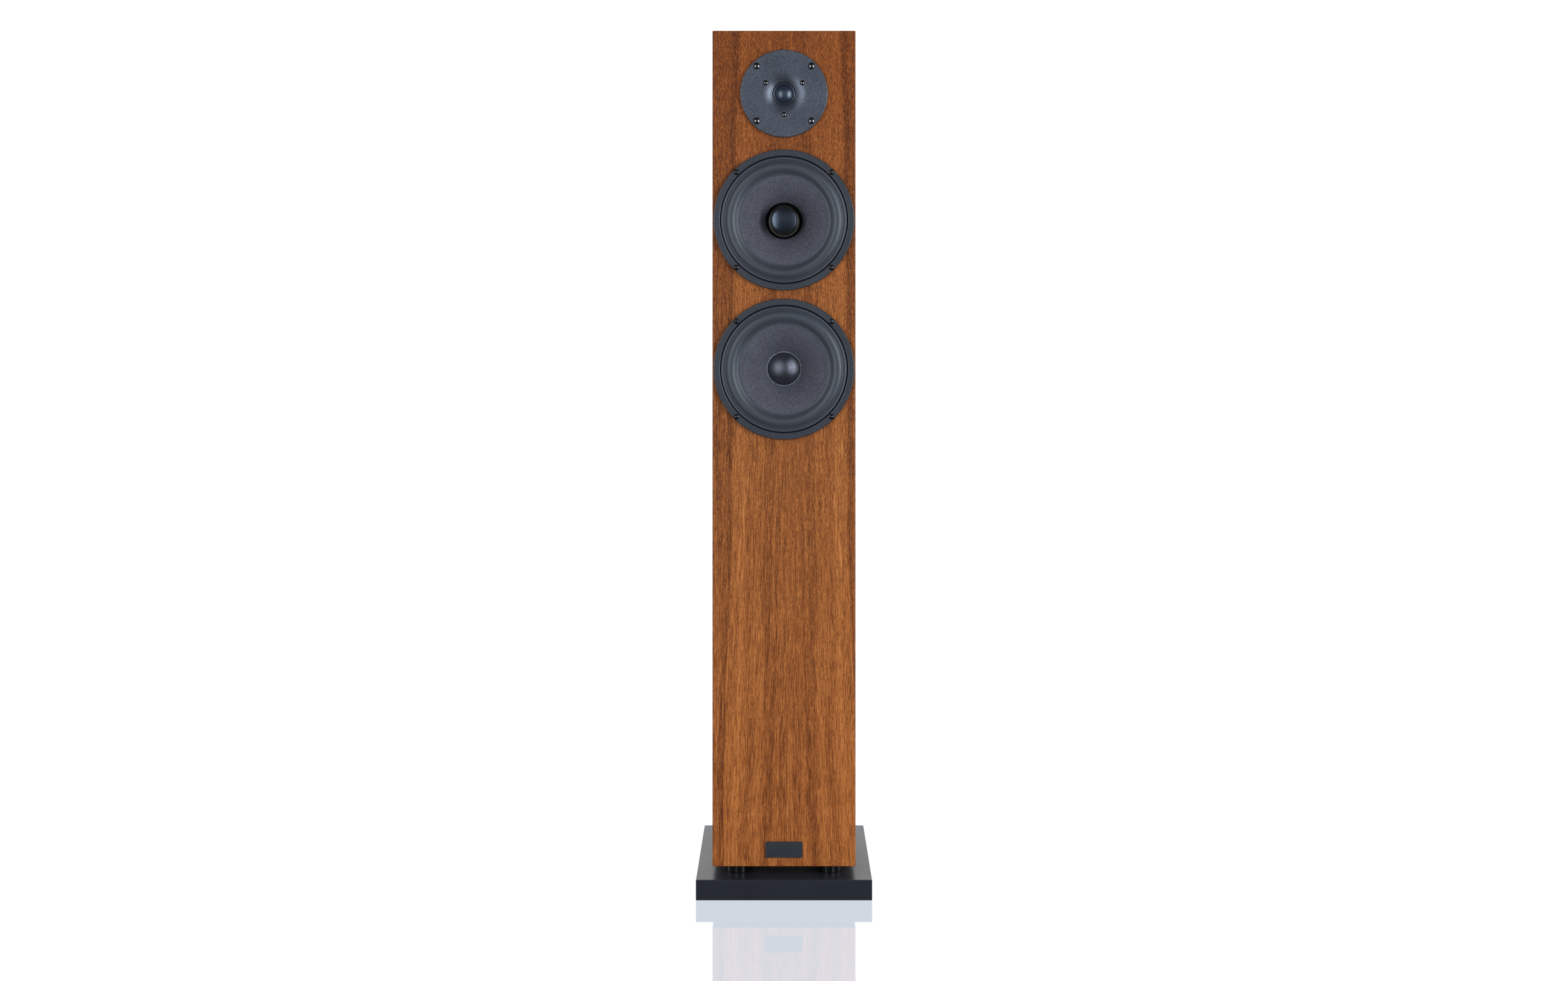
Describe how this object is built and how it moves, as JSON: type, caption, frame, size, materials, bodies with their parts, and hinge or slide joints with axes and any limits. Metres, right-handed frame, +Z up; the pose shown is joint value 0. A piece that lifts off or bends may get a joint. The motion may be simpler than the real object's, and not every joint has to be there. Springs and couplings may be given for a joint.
{
  "type": "floorstanding speaker",
  "caption": "Slim walnut-veneered tower loudspeaker on a dark plinth, with a soft-dome tweeter over woven-cone woofers, a rear reflex port and binding posts.",
  "frame": {"origin": "on the floor, under the centre of the plinth's footprint", "axes": "+Z up, the drivers face -Y, +X to the right seen from the front"},
  "size_m": [0.208, 0.29, 1.029],
  "materials": {
    "walnut_veneer": "satin",
    "brace_board": "matte",
    "plinth_lacquer": "satin",
    "spacer_metal": "satin",
    "badge_metal": "satin",
    "dark_steel": "satin",
    "zinc_steel": "satin",
    "brass": "satin",
    "foot_rubber": "matte",
    "faceplate_metal": "matte",
    "dome_fabric": "satin",
    "frame_casting": "satin",
    "surround_rubber": "satin",
    "woven_cone": "satin",
    "coil_copper": "satin",
    "spider_cloth": "matte",
    "ferrite": "matte",
    "plug_metal": "satin",
    "gasket_foam": "matte",
    "port_plastic": "matte",
    "terminal_metal": "satin",
    "post_metal": "polished",
    "red_plastic": "gloss",
    "black_plastic": "gloss",
    "circuit_board": "satin",
    "film_capacitor": "gloss",
    "lead_plastic": "matte",
    "damping_felt": "matte"
  },
  "bodies": {
    "cabinet": {"front_baffle": "walnut_veneer", "left_side_panel": "walnut_veneer", "right_side_panel": "walnut_veneer", "top_panel": "walnut_veneer", "bottom_panel": "walnut_veneer", "back_panel": "walnut_veneer", "cabinet_braces": "brace_board", "plinth": "plinth_lacquer", "plinth_spacer_1": "spacer_metal", "plinth_spacer_2": "spacer_metal", "plinth_spacer_3": "spacer_metal", "plinth_spacer_4": "spacer_metal", "front_badge": "badge_metal", "plinth_bolts": "zinc_steel", "tweeter_top_plate": "zinc_steel", "tweeter_yoke": "zinc_steel", "midwoofer_top_plate": "zinc_steel", "midwoofer_yoke": "zinc_steel", "woofer_top_plate": "zinc_steel", "woofer_yoke": "zinc_steel", "tweeter_screws": "dark_steel", "midwoofer_screws": "dark_steel", "woofer_screws": "dark_steel", "terminal_screws": "dark_steel", "cabinet_inserts": "brass", "spike_inserts": "brass", "floor_pads": "foot_rubber", "tweeter_faceplate": "faceplate_metal", "tweeter_surround": "dome_fabric", "crossover_coils": "coil_copper", "tweeter_magnet": "ferrite", "midwoofer_magnet": "ferrite", "woofer_magnet": "ferrite", "midwoofer_frame": "frame_casting", "woofer_frame": "frame_casting", "midwoofer_surround": "surround_rubber", "woofer_surround": "surround_rubber", "midwoofer_spider": "spider_cloth", "woofer_spider": "spider_cloth", "midwoofer_phase_plug": "plug_metal", "driver_gaskets": "gasket_foam", "port_tube": "port_plastic", "terminal_plate": "terminal_metal", "red_post_stud": "post_metal", "black_post_stud": "post_metal", "crossover_board": "circuit_board", "crossover_components": "film_capacitor", "wiring_harness": "lead_plastic", "damping_felt": "damping_felt"},
    "midwoofer_moving": {"midwoofer_cone": "woven_cone", "midwoofer_voice_coil": "coil_copper"},
    "woofer_moving": {"woofer_cone": "woven_cone", "woofer_voice_coil": "coil_copper", "woofer_dust_cap": "woven_cone"},
    "tweeter_moving": {"tweeter_dome": "dome_fabric", "tweeter_voice_coil": "coil_copper"},
    "red_collar": {"red_post_collar": "post_metal"},
    "red_knob": {"red_post_knob": "red_plastic"},
    "black_collar": {"black_post_collar": "post_metal"},
    "black_knob": {"black_post_knob": "black_plastic"}
  },
  "joints": [
    {"name": "midwoofer_travel", "type": "slide", "parent": "cabinet", "child": "midwoofer_moving", "axis": [0, -1, 0], "range_m": [-0.005, 0.005], "stiffness_N_per_m": 900, "deforming": ["midwoofer_surround", "midwoofer_spider"]},
    {"name": "woofer_travel", "type": "slide", "parent": "cabinet", "child": "woofer_moving", "axis": [0, -1, 0], "range_m": [-0.005, 0.005], "stiffness_N_per_m": 750, "deforming": ["woofer_surround", "woofer_spider"]},
    {"name": "tweeter_travel", "type": "slide", "parent": "cabinet", "child": "tweeter_moving", "axis": [0, -1, 0], "range_m": [-0.0004, 0.0004], "stiffness_N_per_m": 4000, "deforming": ["tweeter_surround"]},
    {"name": "red_collar_slide", "type": "slide", "parent": "cabinet", "child": "red_collar", "axis": [0, 1, 0], "range_m": [0, 0.004]},
    {"name": "red_knob_turn", "type": "hinge", "parent": "red_collar", "child": "red_knob", "pos_m": [-0.019, 0.135, 0.15], "axis": [0, 1, 0], "range_deg": [0, 1440]},
    {"name": "black_collar_slide", "type": "slide", "parent": "cabinet", "child": "black_collar", "axis": [0, 1, 0], "range_m": [0, 0.004]},
    {"name": "black_knob_turn", "type": "hinge", "parent": "black_collar", "child": "black_knob", "pos_m": [0.019, 0.135, 0.15], "axis": [0, 1, 0], "range_deg": [0, 1440]}
  ],
  "couplings": [
    {"joint": "red_knob_turn", "follows": "red_collar_slide", "rad_per_m": 6283.2},
    {"joint": "black_knob_turn", "follows": "black_collar_slide", "rad_per_m": 6283.2}
  ]
}
